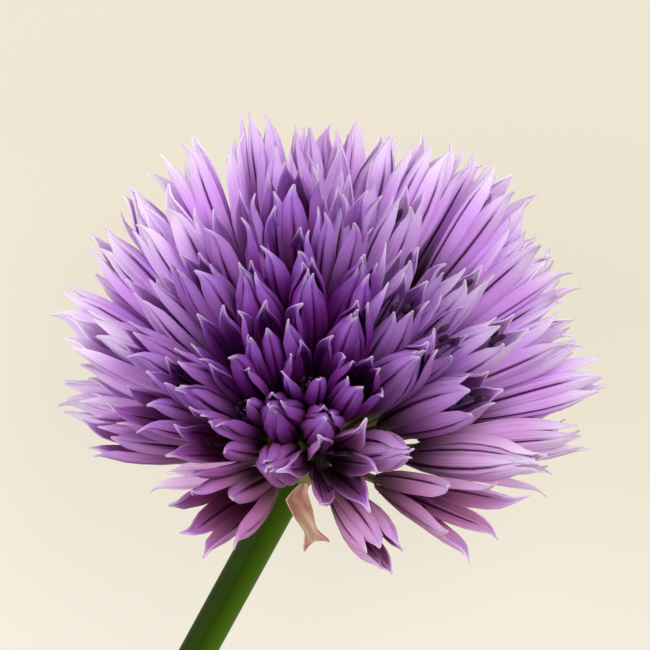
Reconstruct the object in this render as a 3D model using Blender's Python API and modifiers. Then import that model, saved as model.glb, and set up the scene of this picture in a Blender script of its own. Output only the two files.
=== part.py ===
"""A chive flower head on its cut stem, picked and lying at rest on a flat surface.

Frame: metres, +Z up, and z = 0 is the surface that the flower lies on. Seen from above,
the head faces +Y and the stem runs off to -Y and -X. The origin is the middle of the
bounding box's underside.

Pieces: the head (receptacle, stalks and florets grown together), the hollow stem, and
the two papery spathe valves that once wrapped the bud.
"""

import math
import random

import bmesh
import bpy
from mathutils import Matrix, Vector

MM = 0.001

# The head
HEAD_CENTRE = Vector((6.52, 19.15, 17.2)) * MM
HEAD_LIFT = math.radians(28)  # how far the head's axis rises from the surface
REACH = 20.0 * MM  # from the head's centre to the tips of a floret
CROWN_HEIGHT = 17.0 * MM  # the tips right over the centre stand only this high
RECEPTACLE_ALONG = 2.6 * MM  # the stalks' common root, down the stem from the centre
RECEPTACLE_RADIUS = 2.7 * MM
RECEPTACLE_SUBDIVISIONS = 2
FLORET_GAP = math.radians(12.0)  # least angle between two neighbouring florets
SETTLING_ROUNDS = 40
SETTLING_PUSH = 0.25  # how strongly close florets move apart in a round
STEM_PUSH = 0.05  # and how strongly the stem keeps them off
DROOP_LIMIT = math.radians(112)  # the lowest florets, measured from the head's axis
STEM_CLEARANCE = math.radians(48)  # florets keep this far from the stem
SPIRAL_STEPS = 200  # trial places round the whole head for the unseen florets
HIDDEN_LIFT = math.radians(-12)  # the spiral fills only what faces down from here
HIDDEN_GAP = math.radians(17.0)  # and keeps this far from the other florets
HIDDEN_SPREAD = 15.5 * MM  # these stay under the others, this far out at most
PRESSED = 0.2 * MM  # how far the lowest tips are flattened where they touch down

# A floret: a six-sided cup on its stalk, whose rim runs out into six tepals
FLORET_LENGTH = 11.8 * MM
CUP_HEIGHT = 4.4 * MM
CUP_RADIUS = 1.35 * MM
CUP_DEPTH = 2.4 * MM
NECK_RADIUS = 0.6 * MM
STALK_RADIUS = 0.42 * MM
STALK_ROOT = 1.4 * MM  # how far from the receptacle's centre a stalk begins
STALK_SIDES = 3
BLADE = 0.6 * MM
TEPALS = 6
SHOULDER = 0.72  # where a tepal starts to taper, as a share of the floret's length
SHOULDER_WIDTH = 1.6 * MM
SHOULDER_RADIUS = 1.45 * MM
KEEL = 0.3 * MM  # how far a tepal's midline stands out at the shoulder
MOUTHS = (0.7 * MM, 2.8 * MM)  # the tips' radius, from a closed floret to an open one
WHORL_STEP = 0.06  # the three outer tepals stand this much wider than the inner three
REACH_SPREAD = 0.03
OPENING_SPREAD = 0.12
SEED = 11

# The stem: a hollow green stalk
STEM_RADIUS = 1.27 * MM
STEM_BORE = 0.62 * MM
STEM_PLAN_ANGLE = math.radians(28.5)  # from -Y towards -X, seen from above
STEM_START = 3.8 * MM  # from the head's centre, in the receptacle's socket
STEM_LENGTH = 68.0 * MM  # to the cut end, measured in plan
STEM_TOUCHDOWN = 58.0 * MM  # from here on it lies on the surface
STEM_CURVE = 2.0  # 1 is straight down to the surface, more is a softer landing
STEM_POINTS = 26
STEM_BEVEL_STEPS = 4
BORE_START = 12.0 * MM  # the stem is solid from the head as far as here
FOOT_DEPTH = 0.07 * MM  # the underside is flattened this much where it lies
JOINT_GAP = 0.3 * MM
SOCKET_END = 9.0 * MM  # the head is cut clear of the stem as far as here

# The spathe valves: two papery bracts just under the head
VALVE_ROOT = 4.7 * MM  # along the stem from the head's centre
VALVE_LENGTH = 4.3 * MM
VALVE_SPREAD = math.radians(48)  # how far a valve leans out from the stem
VALVE_OUTLINE = ((0.0, 1.8), (0.35, 1.6), (0.65, 1.2), (1.0, 1.9))  # share, width in mm
VALVE_NOTCH = 0.4 * MM  # between the two points of its torn end
VALVE_CUP = 0.2 * MM
# Where each valve's root is round the stem, and which way it leans, from the stem's right
VALVE_TURNS = ((math.radians(65), math.radians(4)), (math.radians(-100), math.radians(-100)))

# Where the florets' tips are, from the head's centre, in millimetres: across, along, and how
# far the floret is open, from 0 to 1. These face up, and the crown's rise gives their height.
CROWN_TIPS = (
    (14.9, -2.4, 0.1), (11.4, -6.5, 0.9), (4.4, -9.0, 0.4), (-8.8, -6.8, 0.5), (-15.4, -0.2, 0.4),
    (-12.9, 2.0, 0.6), (-10.3, 3.7, 0.3), (-13.7, 6.8, 0.2), (-12.5, 10.2, 0.2), (-8.3, 11.7, 0.2),
    (-6.9, 15.0, 0.6), (-4.1, 11.4, 0.1), (-2.4, 17.4, 0.4), (1.3, 18.8, 0.5), (3.0, 16.8, 0.6),
    (4.9, 15.6, 0.3), (-1.9, 13.2, 0.7), (-0.9, 10.9, 0.0), (2.2, 10.9, 0.1), (2.8, 8.3, 0.0),
    (-1.2, 7.3, 0.5), (-4.0, 9.0, 0.3), (-6.3, 7.0, 0.8), (-8.0, 3.2, 0.5), (-9.0, -0.6, 0.6),
    (-3.9, 1.8, 0.0), (1.3, 1.4, 0.0), (1.3, -2.4, 1.0), (5.9, -1.5, 0.0), (-3.8, -2.8, 0.0),
    (7.0, 12.2, 0.5), (9.0, 7.3, 0.6), (10.0, 10.7, 0.3), (12.0, 8.0, 0.4), (11.4, 2.6, 0.2),
    (4.9, 9.8, 0.2), (5.4, 7.6, 0.1), (0.3, 15.0, 0.5), (3.8, 4.6, 0.3),
)
# Those of the rim stand out level or a little down: across, along, lift in degrees.
RIM_TIPS = (
    (-19.4, 9.3, -5), (-17.0, 6.9, 14), (-16.6, 11.9, -14), (-14.9, 16.3, 2),
    (-12.3, 15.7, 14), (-10.3, 18.6, -8), (-6.2, 20.5, -14), (-3.8, 21.3, 3),
    (0.1, 21.7, -6), (2.6, 20.8, -20), (4.4, 20.4, -3), (7.6, 19.3, 6),
    (10.9, 19.0, -8), (13.6, 17.1, 3), (14.4, 14.6, -10), (16.2, 12.4, 2),
    (17.0, 11.2, -15), (17.4, 8.8, -6), (18.0, 6.9, 5), (17.8, 5.1, -12),
    (20.4, 3.4, 2), (17.4, 1.9, -14), (18.5, -0.5, 4), (17.2, -1.8, -10),
    (-18.8, 2.0, -8), (-17.2, 4.0, 6), (-12.6, -2.4, -30), (-9.4, 19.6, 10),
    (-2.2, 20.6, 12), (6.2, 19.9, -14), (-15.5, 13.9, -4),
)

# Colour, roughness
FINISHES = {
    "flower_head": ((0.30, 0.12, 0.45, 1.0), 0.6),
    "stem": ((0.05, 0.14, 0.02, 1.0), 0.45),
    "spathe_valve": ((0.55, 0.33, 0.24, 1.0), 0.7),
}


def clear_scene():
    """Removes whatever the file holds."""
    for item in list(bpy.data.objects):
        bpy.data.objects.remove(item, do_unlink=True)


def new_collection(name):
    """A collection under the scene."""
    collection = bpy.data.collections.new(name)
    bpy.context.scene.collection.children.link(collection)
    return collection


def add_mesh_object(name, mesh, collection):
    """An object that holds a bmesh, which is used up."""
    data = bpy.data.meshes.new(name)
    mesh.to_mesh(data)
    mesh.free()
    item = bpy.data.objects.new(name, data)
    collection.objects.link(item)
    return item


def dress(item, finish):
    """Gives an object its own plain material."""
    colour, roughness = FINISHES[finish]
    material = bpy.data.materials.new(item.name)
    material.use_nodes = True
    shader = material.node_tree.nodes["Principled BSDF"]
    shader.inputs["Base Color"].default_value = colour
    shader.inputs["Roughness"].default_value = roughness
    shader.inputs["Metallic"].default_value = 0.0
    item.data.materials.append(material)


def apply_boolean(item, operation, other):
    """Joins or cuts an object with another object or a whole collection, for good."""
    modifier = item.modifiers.new(operation.title(), "BOOLEAN")
    modifier.operation = operation
    modifier.solver = "MANIFOLD"
    if isinstance(other, bpy.types.Collection):
        modifier.operand_type = "COLLECTION"
        modifier.collection = other
    else:
        modifier.object = other
    graph = bpy.context.evaluated_depsgraph_get()
    data = bpy.data.meshes.new_from_object(item.evaluated_get(graph))
    item.modifiers.clear()
    item.data = data


def empty_collection(collection):
    """Removes what has been joined or has done its cutting."""
    for item in list(collection.objects):
        bpy.data.objects.remove(item, do_unlink=True)
    bpy.data.collections.remove(collection)


def keep_main_body(item):
    """Drops loose scraps and fills sealed hollows, which are bodies of their own."""
    mesh = bmesh.new()
    mesh.from_mesh(item.data)
    bodies = []
    unseen = set(mesh.verts)
    while unseen:
        waiting = [unseen.pop()]
        body = set(waiting)
        while waiting:
            corner = waiting.pop()
            for edge in corner.link_edges:
                other = edge.other_vert(corner)
                if other in unseen:
                    unseen.remove(other)
                    body.add(other)
                    waiting.append(other)
        bodies.append(body)
    bodies.sort(key=len)
    for body in bodies[:-1]:
        bmesh.ops.delete(mesh, geom=list(body), context="VERTS")
    mesh.to_mesh(item.data)
    mesh.free()


def stem_point(along):
    """A point of the stem's centreline, at a plan distance from the head's centre."""
    low = STEM_RADIUS - FOOT_DEPTH
    rise = max(0.0, 1.0 - along / STEM_TOUCHDOWN) ** STEM_CURVE
    return Vector((
        HEAD_CENTRE.x - math.sin(STEM_PLAN_ANGLE) * along,
        HEAD_CENTRE.y - math.cos(STEM_PLAN_ANGLE) * along,
        low + (HEAD_CENTRE.z - low) * rise,
    ))


def stem_direction():
    """The way that the stem leaves the head."""
    return (stem_point(STEM_START) - stem_point(0.0)).normalized()


def receptacle_centre():
    """The stalks' common root."""
    return stem_point(RECEPTACLE_ALONG)


def head_axis():
    """The way that the head faces."""
    return Vector((0.0, math.cos(HEAD_LIFT), math.sin(HEAD_LIFT)))


def floret_tips():
    """Where each floret's tips are, from the head's centre, before they settle."""
    tips = []
    for across, along, _ in CROWN_TIPS:
        flat = Vector((across, along, 0.0)) * MM
        rise = math.sqrt(1.0 - flat.length_squared / REACH**2)
        tips.append(flat + Vector((0.0, 0.0, CROWN_HEIGHT * rise)))
    for across, along, lift in RIM_TIPS:
        flat = Vector((across, along, 0.0)) * MM
        height = flat.length * math.tan(math.radians(lift))
        tips.append(flat + Vector((0.0, 0.0, height)))
    return tips + hidden_tips([tip.normalized() for tip in tips])


def hidden_tips(placed):
    """The florets that face down, on a spiral, where there is still room."""
    golden_angle = math.pi * (3.0 - math.sqrt(5.0))
    placed = list(placed)
    tips = []
    for step in range(SPIRAL_STEPS):
        height = 1.0 - 2.0 * (step + 0.5) / SPIRAL_STEPS
        width = math.sqrt(1.0 - height**2)
        turn = step * golden_angle
        way = Vector((width * math.cos(turn), width * math.sin(turn), height))
        if math.asin(height) > HIDDEN_LIFT:
            continue
        if way.angle(head_axis()) > DROOP_LIMIT or way.angle(stem_direction()) < STEM_CLEARANCE:
            continue
        if any(way.angle(other) < HIDDEN_GAP for other in placed):
            continue
        placed.append(way)
        tips.append(way * min(REACH, HIDDEN_SPREAD / width))
    return tips


def settle(tips):
    """Each floret's way and reach from the receptacle, once close ones have moved apart."""
    root = receptacle_centre() - HEAD_CENTRE
    stalks = [tip - root for tip in tips]
    ways = [stalk.normalized() for stalk in stalks]
    stem = stem_direction()
    for _ in range(SETTLING_ROUNDS):
        pushes = [Vector() for _ in ways]
        for first, way in enumerate(ways):
            for second in range(first + 1, len(ways)):
                angle = way.angle(ways[second])
                if angle < FLORET_GAP:
                    push = (way - ways[second]) * (SETTLING_PUSH * (FLORET_GAP / angle - 1.0))
                    pushes[first] += push
                    pushes[second] -= push
            if way.angle(stem) < STEM_CLEARANCE:
                pushes[first] -= stem * STEM_PUSH
        ways = [(way + push).normalized() for way, push in zip(ways, pushes)]
    return [(way, stalk.length) for way, stalk in zip(ways, stalks)]


def touchdown_reach(way, mouth):
    """How long a floret that faces this way may be before it is pressed into the floor."""
    if way.z >= 0.0:
        return math.inf
    spread = mouth * math.sqrt(1.0 - way.z**2)
    return (receptacle_centre().z + PRESSED - spread) / -way.z


def ring(mesh, radius, height, sides, first_angle):
    """A ring of points round +Z."""
    points = []
    for side in range(sides):
        angle = first_angle + side * 2.0 * math.pi / sides
        points.append(mesh.verts.new((radius * math.cos(angle), radius * math.sin(angle), height)))
    return points


def add_tepal(mesh, angle, outer_edge, inner_edge, shoulder, tip):
    """One tepal: a keeled blade from the cup's rim, over its shoulder, to a point.

    shoulder is its radius and height, and so is tip.
    """
    out = Vector((math.cos(angle), math.sin(angle), 0.0))
    side = Vector((-math.sin(angle), math.cos(angle), 0.0))
    up = Vector((0.0, 0.0, 1.0))
    middle = out * shoulder[0] + up * shoulder[1]
    half = side * (SHOULDER_WIDTH / 2.0)
    edges = [mesh.verts.new(middle - half), mesh.verts.new(middle + half)]
    keel = mesh.verts.new(middle + out * KEEL)
    hollow = mesh.verts.new(middle - out * (BLADE - KEEL))
    point = mesh.verts.new(out * tip[0] + up * tip[1])
    for corners in (
        (outer_edge[0], outer_edge[1], keel),
        (outer_edge[0], keel, edges[0]),
        (outer_edge[1], edges[1], keel),
        (edges[0], keel, point),
        (keel, edges[1], point),
        (inner_edge[1], inner_edge[0], hollow),
        (outer_edge[0], edges[0], hollow),
        (outer_edge[0], hollow, inner_edge[0]),
        (edges[0], point, hollow),
        (outer_edge[1], hollow, edges[1]),
        (outer_edge[1], inner_edge[1], hollow),
        (edges[1], hollow, point),
    ):
        mesh.faces.new(corners)


def floret_mesh(reach, opening, mouth):
    """A floret on its stalk, along +Z from the receptacle's centre, as one closed mesh."""
    mesh = bmesh.new()
    base = reach - FLORET_LENGTH
    rim_height = base + CUP_HEIGHT
    half_tepal = math.pi / TEPALS
    root = ring(mesh, STALK_RADIUS, STALK_ROOT, STALK_SIDES, half_tepal)
    neck = ring(mesh, NECK_RADIUS, base, STALK_SIDES, half_tepal)
    rim = ring(mesh, CUP_RADIUS, rim_height, TEPALS, half_tepal)
    lip = ring(mesh, CUP_RADIUS - BLADE, rim_height, TEPALS, half_tepal)
    floor = mesh.verts.new((0.0, 0.0, rim_height - CUP_DEPTH))
    mesh.faces.new(list(reversed(root)))
    for side in range(STALK_SIDES):
        after = (side + 1) % STALK_SIDES
        rim_start, rim_middle, rim_end = (rim[(2 * side + step) % TEPALS] for step in range(3))
        mesh.faces.new((root[side], root[after], neck[after], neck[side]))
        mesh.faces.new((neck[side], rim_middle, rim_start))
        mesh.faces.new((neck[side], neck[after], rim_middle))
        mesh.faces.new((neck[after], rim_end, rim_middle))
    for tepal in range(TEPALS):
        after = (tepal + 1) % TEPALS
        whorl = 1.0 + (WHORL_STEP if tepal % 2 else -WHORL_STEP)
        add_tepal(
            mesh,
            2.0 * half_tepal * (tepal + 1),
            (rim[tepal], rim[after]),
            (lip[tepal], lip[after]),
            (SHOULDER_RADIUS * whorl * opening, base + FLORET_LENGTH * SHOULDER),
            (mouth * whorl, reach),
        )
        mesh.faces.new((lip[after], lip[tepal], floor))
    bmesh.ops.recalc_face_normals(mesh, faces=mesh.faces)
    return mesh


def build_head(collection):
    """The receptacle with every stalk and floret grown from it, as one body."""
    draw = random.Random(SEED)
    florets = new_collection("florets")
    for number, (way, reach) in enumerate(settle(floret_tips())):
        opening = 1.0 + draw.uniform(-OPENING_SPREAD, OPENING_SPREAD)
        openness = CROWN_TIPS[number][2] if number < len(CROWN_TIPS) else draw.random()
        mouth = MOUTHS[0] + (MOUTHS[1] - MOUTHS[0]) * openness
        reach *= 1.0 + draw.uniform(-REACH_SPREAD, REACH_SPREAD)
        reach = min(reach, touchdown_reach(way, mouth))
        spin = Matrix.Rotation(draw.uniform(0.0, 2.0 * math.pi / 3.0), 4, "Z")
        floret = add_mesh_object(f"floret_{number}", floret_mesh(reach, opening, mouth), florets)
        turn = way.to_track_quat("Z", "Y").to_matrix().to_4x4()
        floret.matrix_world = Matrix.Translation(receptacle_centre()) @ turn @ spin

    mesh = bmesh.new()
    bmesh.ops.create_icosphere(
        mesh,
        subdivisions=RECEPTACLE_SUBDIVISIONS,
        radius=RECEPTACLE_RADIUS,
        matrix=Matrix.Translation(receptacle_centre()),
    )
    head = add_mesh_object("flower_head", mesh, collection)
    apply_boolean(head, "UNION", florets)
    empty_collection(florets)

    cutters = new_collection("head_cutters")
    add_tube("socket", STEM_RADIUS + JOINT_GAP, STEM_START - JOINT_GAP, SOCKET_END, cutters)
    add_floor_block(cutters)
    apply_boolean(head, "DIFFERENCE", cutters)
    empty_collection(cutters)
    keep_main_body(head)
    dress(head, "flower_head")


def add_floor_block(collection):
    """A block under z = 0, which flattens what would reach below the surface."""
    mesh = bmesh.new()
    size = 4.0 * STEM_LENGTH  # wider than the flower either way
    bmesh.ops.create_cube(mesh, size=size, matrix=Matrix.Translation((0.0, 0.0, -size / 2.0)))
    return add_mesh_object("floor_block", mesh, collection)


def add_tube(name, radius, start, end, collection):
    """A closed tube along the stem's centreline, between two plan distances."""
    curve = bpy.data.curves.new(name, "CURVE")
    curve.dimensions = "3D"
    curve.bevel_depth = radius
    curve.bevel_resolution = STEM_BEVEL_STEPS
    curve.use_fill_caps = True
    spline = curve.splines.new("POLY")
    spline.points.add(STEM_POINTS - 1)
    for number, point in enumerate(spline.points):
        place = stem_point(start + (end - start) * number / (STEM_POINTS - 1))
        point.co = (*place, 1.0)
    guide = bpy.data.objects.new(name + "_curve", curve)
    collection.objects.link(guide)
    graph = bpy.context.evaluated_depsgraph_get()
    mesh = bmesh.new()
    mesh.from_mesh(bpy.data.meshes.new_from_object(guide.evaluated_get(graph)))
    bmesh.ops.remove_doubles(mesh, verts=mesh.verts, dist=0.001 * MM)
    bpy.data.objects.remove(guide, do_unlink=True)
    return add_mesh_object(name, mesh, collection)


def build_stem(collection):
    """The hollow stem, from inside the head down to its cut end."""
    stem = add_tube("stem", STEM_RADIUS, STEM_START, STEM_LENGTH, collection)
    cutters = new_collection("stem_cutters")
    add_tube("bore", STEM_BORE, BORE_START, STEM_LENGTH + STEM_RADIUS, cutters)
    add_floor_block(cutters)
    apply_boolean(stem, "DIFFERENCE", cutters)
    empty_collection(cutters)
    dress(stem, "stem")


def across_stem(turn):
    """The way across the stem at a turn from its right, where a quarter turn is up."""
    along = stem_direction()
    right = along.cross(Vector((0.0, 0.0, -1.0))).normalized()
    above = along.cross(right).normalized()
    return right * math.cos(turn) + above * math.sin(turn)


def build_valve(number, root_turn, lean_turn, collection):
    """A spathe valve: a short papery strip with a torn, forked end."""
    along = stem_direction()
    out = across_stem(root_turn)
    root = stem_point(VALVE_ROOT) + out * (STEM_RADIUS + JOINT_GAP + BLADE / 2.0)
    lean = along * math.cos(VALVE_SPREAD) + across_stem(lean_turn) * math.sin(VALVE_SPREAD)
    side = lean.cross(out).normalized()
    lifted = side.cross(lean)
    mesh = bmesh.new()
    rows = []
    for share, width in VALVE_OUTLINE:
        middle = root + lean * (VALVE_LENGTH * share)
        notch = lean * (VALVE_NOTCH if share == 1.0 else 0.0)
        half = side * (width * MM / 2.0)
        rows.append([
            mesh.verts.new(middle - half),
            mesh.verts.new(middle - lifted * VALVE_CUP - notch),
            mesh.verts.new(middle + half),
        ])
    for row, below in zip(rows, rows[1:]):
        for column in range(2):
            mesh.faces.new((row[column], row[column + 1], below[column + 1], below[column]))
    valve = add_mesh_object(f"spathe_valve_{number}", mesh, collection)
    wall = valve.modifiers.new("Thickness", "SOLIDIFY")
    wall.thickness = BLADE
    wall.offset = 0.0
    dress(valve, "spathe_valve")


def main():
    """Builds the flower."""
    clear_scene()
    collection = new_collection("chive_flower")
    build_head(collection)
    build_stem(collection)
    for number, turns in enumerate(VALVE_TURNS, start=1):
        build_valve(number, *turns, collection)


main()
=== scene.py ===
"""Dresses a chive flower: tepals, stamens, stalks, hollow stem and papery spathe valves.

Lengths are metres in the part's own frame: +Z up, the surface at z = 0, the head towards +Y.
The florets stand where the part's solids have them, by the same rule and the same draws.
"""

from __future__ import annotations

import logging
import math
import random
from collections.abc import Callable, Sequence
from dataclasses import dataclass
from enum import Enum
from functools import partialmethod

import bmesh
import bpy
from mathutils import Matrix, Vector


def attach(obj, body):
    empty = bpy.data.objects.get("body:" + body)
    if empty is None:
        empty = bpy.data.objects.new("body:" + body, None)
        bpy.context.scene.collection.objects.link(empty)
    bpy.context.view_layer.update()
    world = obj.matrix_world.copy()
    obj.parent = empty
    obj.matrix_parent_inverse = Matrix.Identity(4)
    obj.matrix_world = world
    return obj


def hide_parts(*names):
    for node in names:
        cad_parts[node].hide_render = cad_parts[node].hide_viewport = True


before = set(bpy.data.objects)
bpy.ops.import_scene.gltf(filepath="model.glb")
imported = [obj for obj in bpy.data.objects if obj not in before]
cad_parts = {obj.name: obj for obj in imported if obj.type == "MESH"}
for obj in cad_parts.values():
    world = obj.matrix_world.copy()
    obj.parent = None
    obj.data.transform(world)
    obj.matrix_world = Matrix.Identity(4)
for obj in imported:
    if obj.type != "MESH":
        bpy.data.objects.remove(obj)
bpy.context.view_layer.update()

LOG = logging.getLogger("chive")
BODY = "root"
SMOOTH_BELOW = math.radians(50.0)
MM = 0.001
NEAR = 0.01 * MM  # points closer than this lie in one plane
FULL_TURN = 2.0 * math.pi
UP = Vector((0.0, 0.0, 1.0))

Colour = tuple[float, float, float, float]
Span = tuple[float, float]
Values = dict[str | int, object]
Piece = bpy.types.Object
Material = bpy.types.Material


class Whorl(Enum):
    """The two rings of three tepals in a floret."""

    OUTER = 0.0
    INNER = math.pi / 3.0


class Slot(Enum):
    """The record's material slots."""

    TEPAL = "tepal"
    STEM = "stem"
    SPATHE = "spathe"


def paint(red: int, green: int, blue: int) -> Colour:
    """A screen colour as linear light.

    Args:
        red: Red, from 0 to 255.
        green: Green, from 0 to 255.
        blue: Blue, from 0 to 255.

    Returns:
        The colour with full alpha.
    """
    low_part, knee = 12.92, 0.04045
    parts = []
    for value in (red, green, blue):
        share = value / 255.0
        parts.append(share / low_part if share <= knee else ((share + 0.055) / 1.055) ** 2.4)
    return (parts[0], parts[1], parts[2], 1.0)


def clamp(value: float) -> float:
    """The value, kept from 0 to 1."""
    return max(0.0, min(1.0, value))


class Wire:
    """A shader socket that takes part in Python arithmetic."""

    def __init__(self, painter: Painter, socket: bpy.types.NodeSocket) -> None:
        """Keeps the socket and the material that it belongs to."""
        self.painter = painter
        self.socket = socket

    def _with(self, operation: str, *others: Wire | float) -> Wire:
        """A Math node on this and the others, in that order."""
        return self.painter.calculate(operation, self, *others)

    def __rsub__(self, other: float) -> Wire:
        """A number less this."""
        return self.painter.calculate("SUBTRACT", other, self)

    __add__ = __radd__ = partialmethod(_with, "ADD")
    __sub__ = partialmethod(_with, "SUBTRACT")
    __mul__ = __rmul__ = partialmethod(_with, "MULTIPLY")
    __pow__ = partialmethod(_with, "POWER")
    __abs__ = partialmethod(_with, "ABSOLUTE")
    wave = partialmethod(_with, "SINE")

    def rise(self, low: float, high: float) -> Wire:
        """A soft step from 0 at the low value to 1 at the high one."""
        return self.painter.node(
            "ShaderNodeMapRange",
            {"interpolation_type": "SMOOTHSTEP"},
            {"Value": self, "From Min": low, "From Max": high},
        )

    def fall(self, low: float, high: float) -> Wire:
        """A soft step from 1 at the low value to 0 at the high one."""
        return 1.0 - self.rise(low, high)


MIX_SOCKETS = (6, 7, 2)  # the Mix node's two colour inputs and its colour output


class Painter:
    """Builds the nodes of one material round a Principled shader."""

    def __init__(self, name: str) -> None:
        """Starts a material with that name."""
        self.material = bpy.data.materials.new(name)
        self.material.use_nodes = True
        self.tree = self.material.node_tree
        self.shader = self.tree.nodes["Principled BSDF"]

    def node(self, kind: str, settings: Values, values: Values, output: str | int = 0) -> Wire:
        """Adds a node.

        Args:
            kind: The node's type.
            settings: Its own settings, which are made first.
            values: What its input sockets hold or are linked to.
            output: The output socket that is handed back.

        Returns:
            The output, ready for arithmetic.
        """
        made = self.tree.nodes.new(kind)
        for key, value in settings.items():
            setattr(made, key, value)
        for key, value in values.items():
            self.feed(made.inputs[key], value)
        return Wire(self, made.outputs[output])

    def feed(self, socket: bpy.types.NodeSocket, value: object) -> None:
        """Links a wire to a socket, or sets a plain value on it."""
        if isinstance(value, Wire):
            self.tree.links.new(value.socket, socket)
        else:
            socket.default_value = value

    def calculate(self, operation: str, *values: Wire | float) -> Wire:
        """A Math node on these values, in their order."""
        return self.node("ShaderNodeMath", {"operation": operation}, dict(enumerate(values)))

    def mix(self, share: Wire | float, first: object, second: object) -> Wire:
        """A colour between two, by a share from 0 to 1."""
        one, two, mixed = MIX_SOCKETS
        return self.node("ShaderNodeMix", {"data_type": "RGBA"}, {0: share, one: first, two: second}, mixed)

    def own(self, name: str) -> Wire:
        """A number that the piece holds in an attribute."""
        return self.node("ShaderNodeAttribute", {"attribute_name": name}, {}, "Fac")

    def place(self) -> Wire:
        """The point's place on the object."""
        return self.node("ShaderNodeTexCoord", {}, {}, "Object")

    def map(self) -> tuple[Wire, Wire]:
        """The piece's own UV map, as across and along."""
        flat = self.node("ShaderNodeUVMap", {"uv_map": UV_NAME}, {})
        return self.part(flat, "X"), self.part(flat, "Y")

    def part(self, vector: Wire, axis: str) -> Wire:
        """One axis of a vector."""
        return self.node("ShaderNodeSeparateXYZ", {}, {"Vector": vector}, axis)

    def vector(self, x: Wire | float, y: Wire | float, z: Wire | float) -> Wire:
        """A vector from its three parts."""
        return self.node("ShaderNodeCombineXYZ", {}, {"X": x, "Y": y, "Z": z})

    def noise(self, where: Wire, scale: float, detail: float = 3.0) -> Wire:
        """Soft noise round 0.5."""
        return self.node("ShaderNodeTexNoise", {}, {"Vector": where, "Scale": scale, "Detail": detail})

    def grain(self, scale: float) -> Wire:
        """Soft noise through the object itself."""
        return self.noise(self.place(), scale)

    def bump(self, height: Wire, depth: float, strength: float) -> Wire:
        """A normal that follows a height, whose full step is the depth in metres."""
        values = {"Height": height, "Distance": depth, "Strength": strength}
        return self.node("ShaderNodeBump", {}, values)

    def surface(self, **values: object) -> Material:
        """Sets the shader's sockets, named with underscores for spaces, and hands the material back."""
        for key, value in values.items():
            self.feed(self.shader.inputs[key.replace("_", " ")], value)
        return self.material


UV_NAME = "UVMap"
TONE = "tone"  # from 0, pale rim floret, to 1, deep violet crown floret; on the stem 1 marks pale flesh
SHADE = "shade"  # a tepal's own small change, round 0
AGE = "age"  # from 0, fresh violet floret, to 1, older mauve floret low on the head


@dataclass(frozen=True)
class TepalFinish:
    """Satin petals: plum at the foot, partly their own colour and partly painted shade where florets crowd;
    violet or lilac above, with a painted lavender sheen on the ridges towards the tip; pale at the tip, a
    dark midvein.
    """

    foot: Colour = paint(68, 14, 52)
    dusk: Colour = paint(122, 80, 90)
    violet: Colour = paint(118, 36, 134)
    mauve: Colour = paint(150, 70, 132)
    lilac: Colour = paint(221, 163, 245)
    rose: Colour = paint(231, 175, 216)
    painted_sheen: Colour = paint(178, 130, 232)
    tip: Colour = paint(236, 218, 242)
    frost: Colour = paint(242, 230, 246)
    vein: Colour = paint(70, 12, 66)
    streak: Colour = paint(100, 30, 110)

    def material(self) -> Material:
        """The material, which reads the tepal's UV map and its tone, age and shade."""
        painter = Painter("tepal_satin")
        across, along = painter.map()
        side = abs(across - 0.5) * 2.0
        tone, age, shade = (painter.own(name) for name in (TONE, AGE, SHADE))
        streaks = painter.noise(painter.vector(across * 14.0, along * 1.2, shade * 9.0), 1.0)
        clouds = painter.grain(260.0)
        pale = painter.mix(age, self.lilac, self.rose)
        deep = painter.mix(age, self.violet, self.mauve)
        colour = painter.mix(tone, pale, deep)
        colour = painter.mix(streaks.rise(0.5, 0.8) * 0.3, colour, self.streak)
        # Painted highlight: a lavender sheen on the ridges of each tepal's upper part, strongest midway
        # across each half, patchy by noise and by the tepal's own shade value.
        painted_ridge_highlight = (side * math.pi).wave() * 0.4 + 0.6
        colour = painter.mix(along.rise(0.64, 1.0) * (clouds + shade * 0.5) * painted_ridge_highlight, colour, self.painted_sheen)
        colour = painter.mix(along.rise(0.6, 1.0) * (1.0 - tone) ** 2.0 * 0.8, colour, self.frost)
        colour = painter.mix(along.rise(0.9, 1.0) * 0.5, colour, self.tip)
        # The plum foot is partly the tepal's own colour and partly painted shade where florets crowd
        # together; it reaches higher on deep crown florets, and older florets get the duller dusk.
        foot = painter.mix(age * 0.8, self.foot, self.dusk)
        colour = painter.mix(along.fall(0.08, tone * 0.3 + 0.56), colour, foot)
        vein = (side + along * 0.1).fall(0.07, 0.25) * along.fall(0.72, 0.88)
        colour = painter.mix(vein, colour, self.vein)
        ribs = (across * FULL_TURN * 9.0).wave() * 0.4 + streaks
        return painter.surface(
            Base_Color=colour,
            Roughness=0.46 + streaks * 0.16,
            Normal=painter.bump(ribs, 0.04 * MM, 0.45),
            Subsurface_Weight=0.25,
            Subsurface_Radius=(1.0, 0.45, 0.8),
            Subsurface_Scale=0.5 * MM,
            Specular_IOR_Level=0.12,
        )


@dataclass(frozen=True)
class StalkFinish:
    """Fresh yellow-green stalks that turn purple under the floret."""

    green: Colour = paint(128, 128, 30)
    purple: Colour = paint(110, 66, 92)
    mottled: Colour = paint(104, 128, 40)

    def material(self) -> Material:
        """The material, which reads how far along its stalk a point is."""
        painter = Painter("stalk_green")
        _, along = painter.map()
        mottle = painter.grain(900.0)
        colour = painter.mix(along.rise(0.45, 1.0) * 0.8, self.green, self.purple)
        colour = painter.mix(mottle.rise(0.5, 0.8) * 0.3, colour, self.mottled)
        return painter.surface(
            Base_Color=colour,
            Roughness=0.45 + mottle * 0.1,
            Normal=painter.bump(mottle, 0.04 * MM, 0.4),
            Subsurface_Weight=0.15,
            Subsurface_Scale=0.4 * MM,
        )


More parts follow.
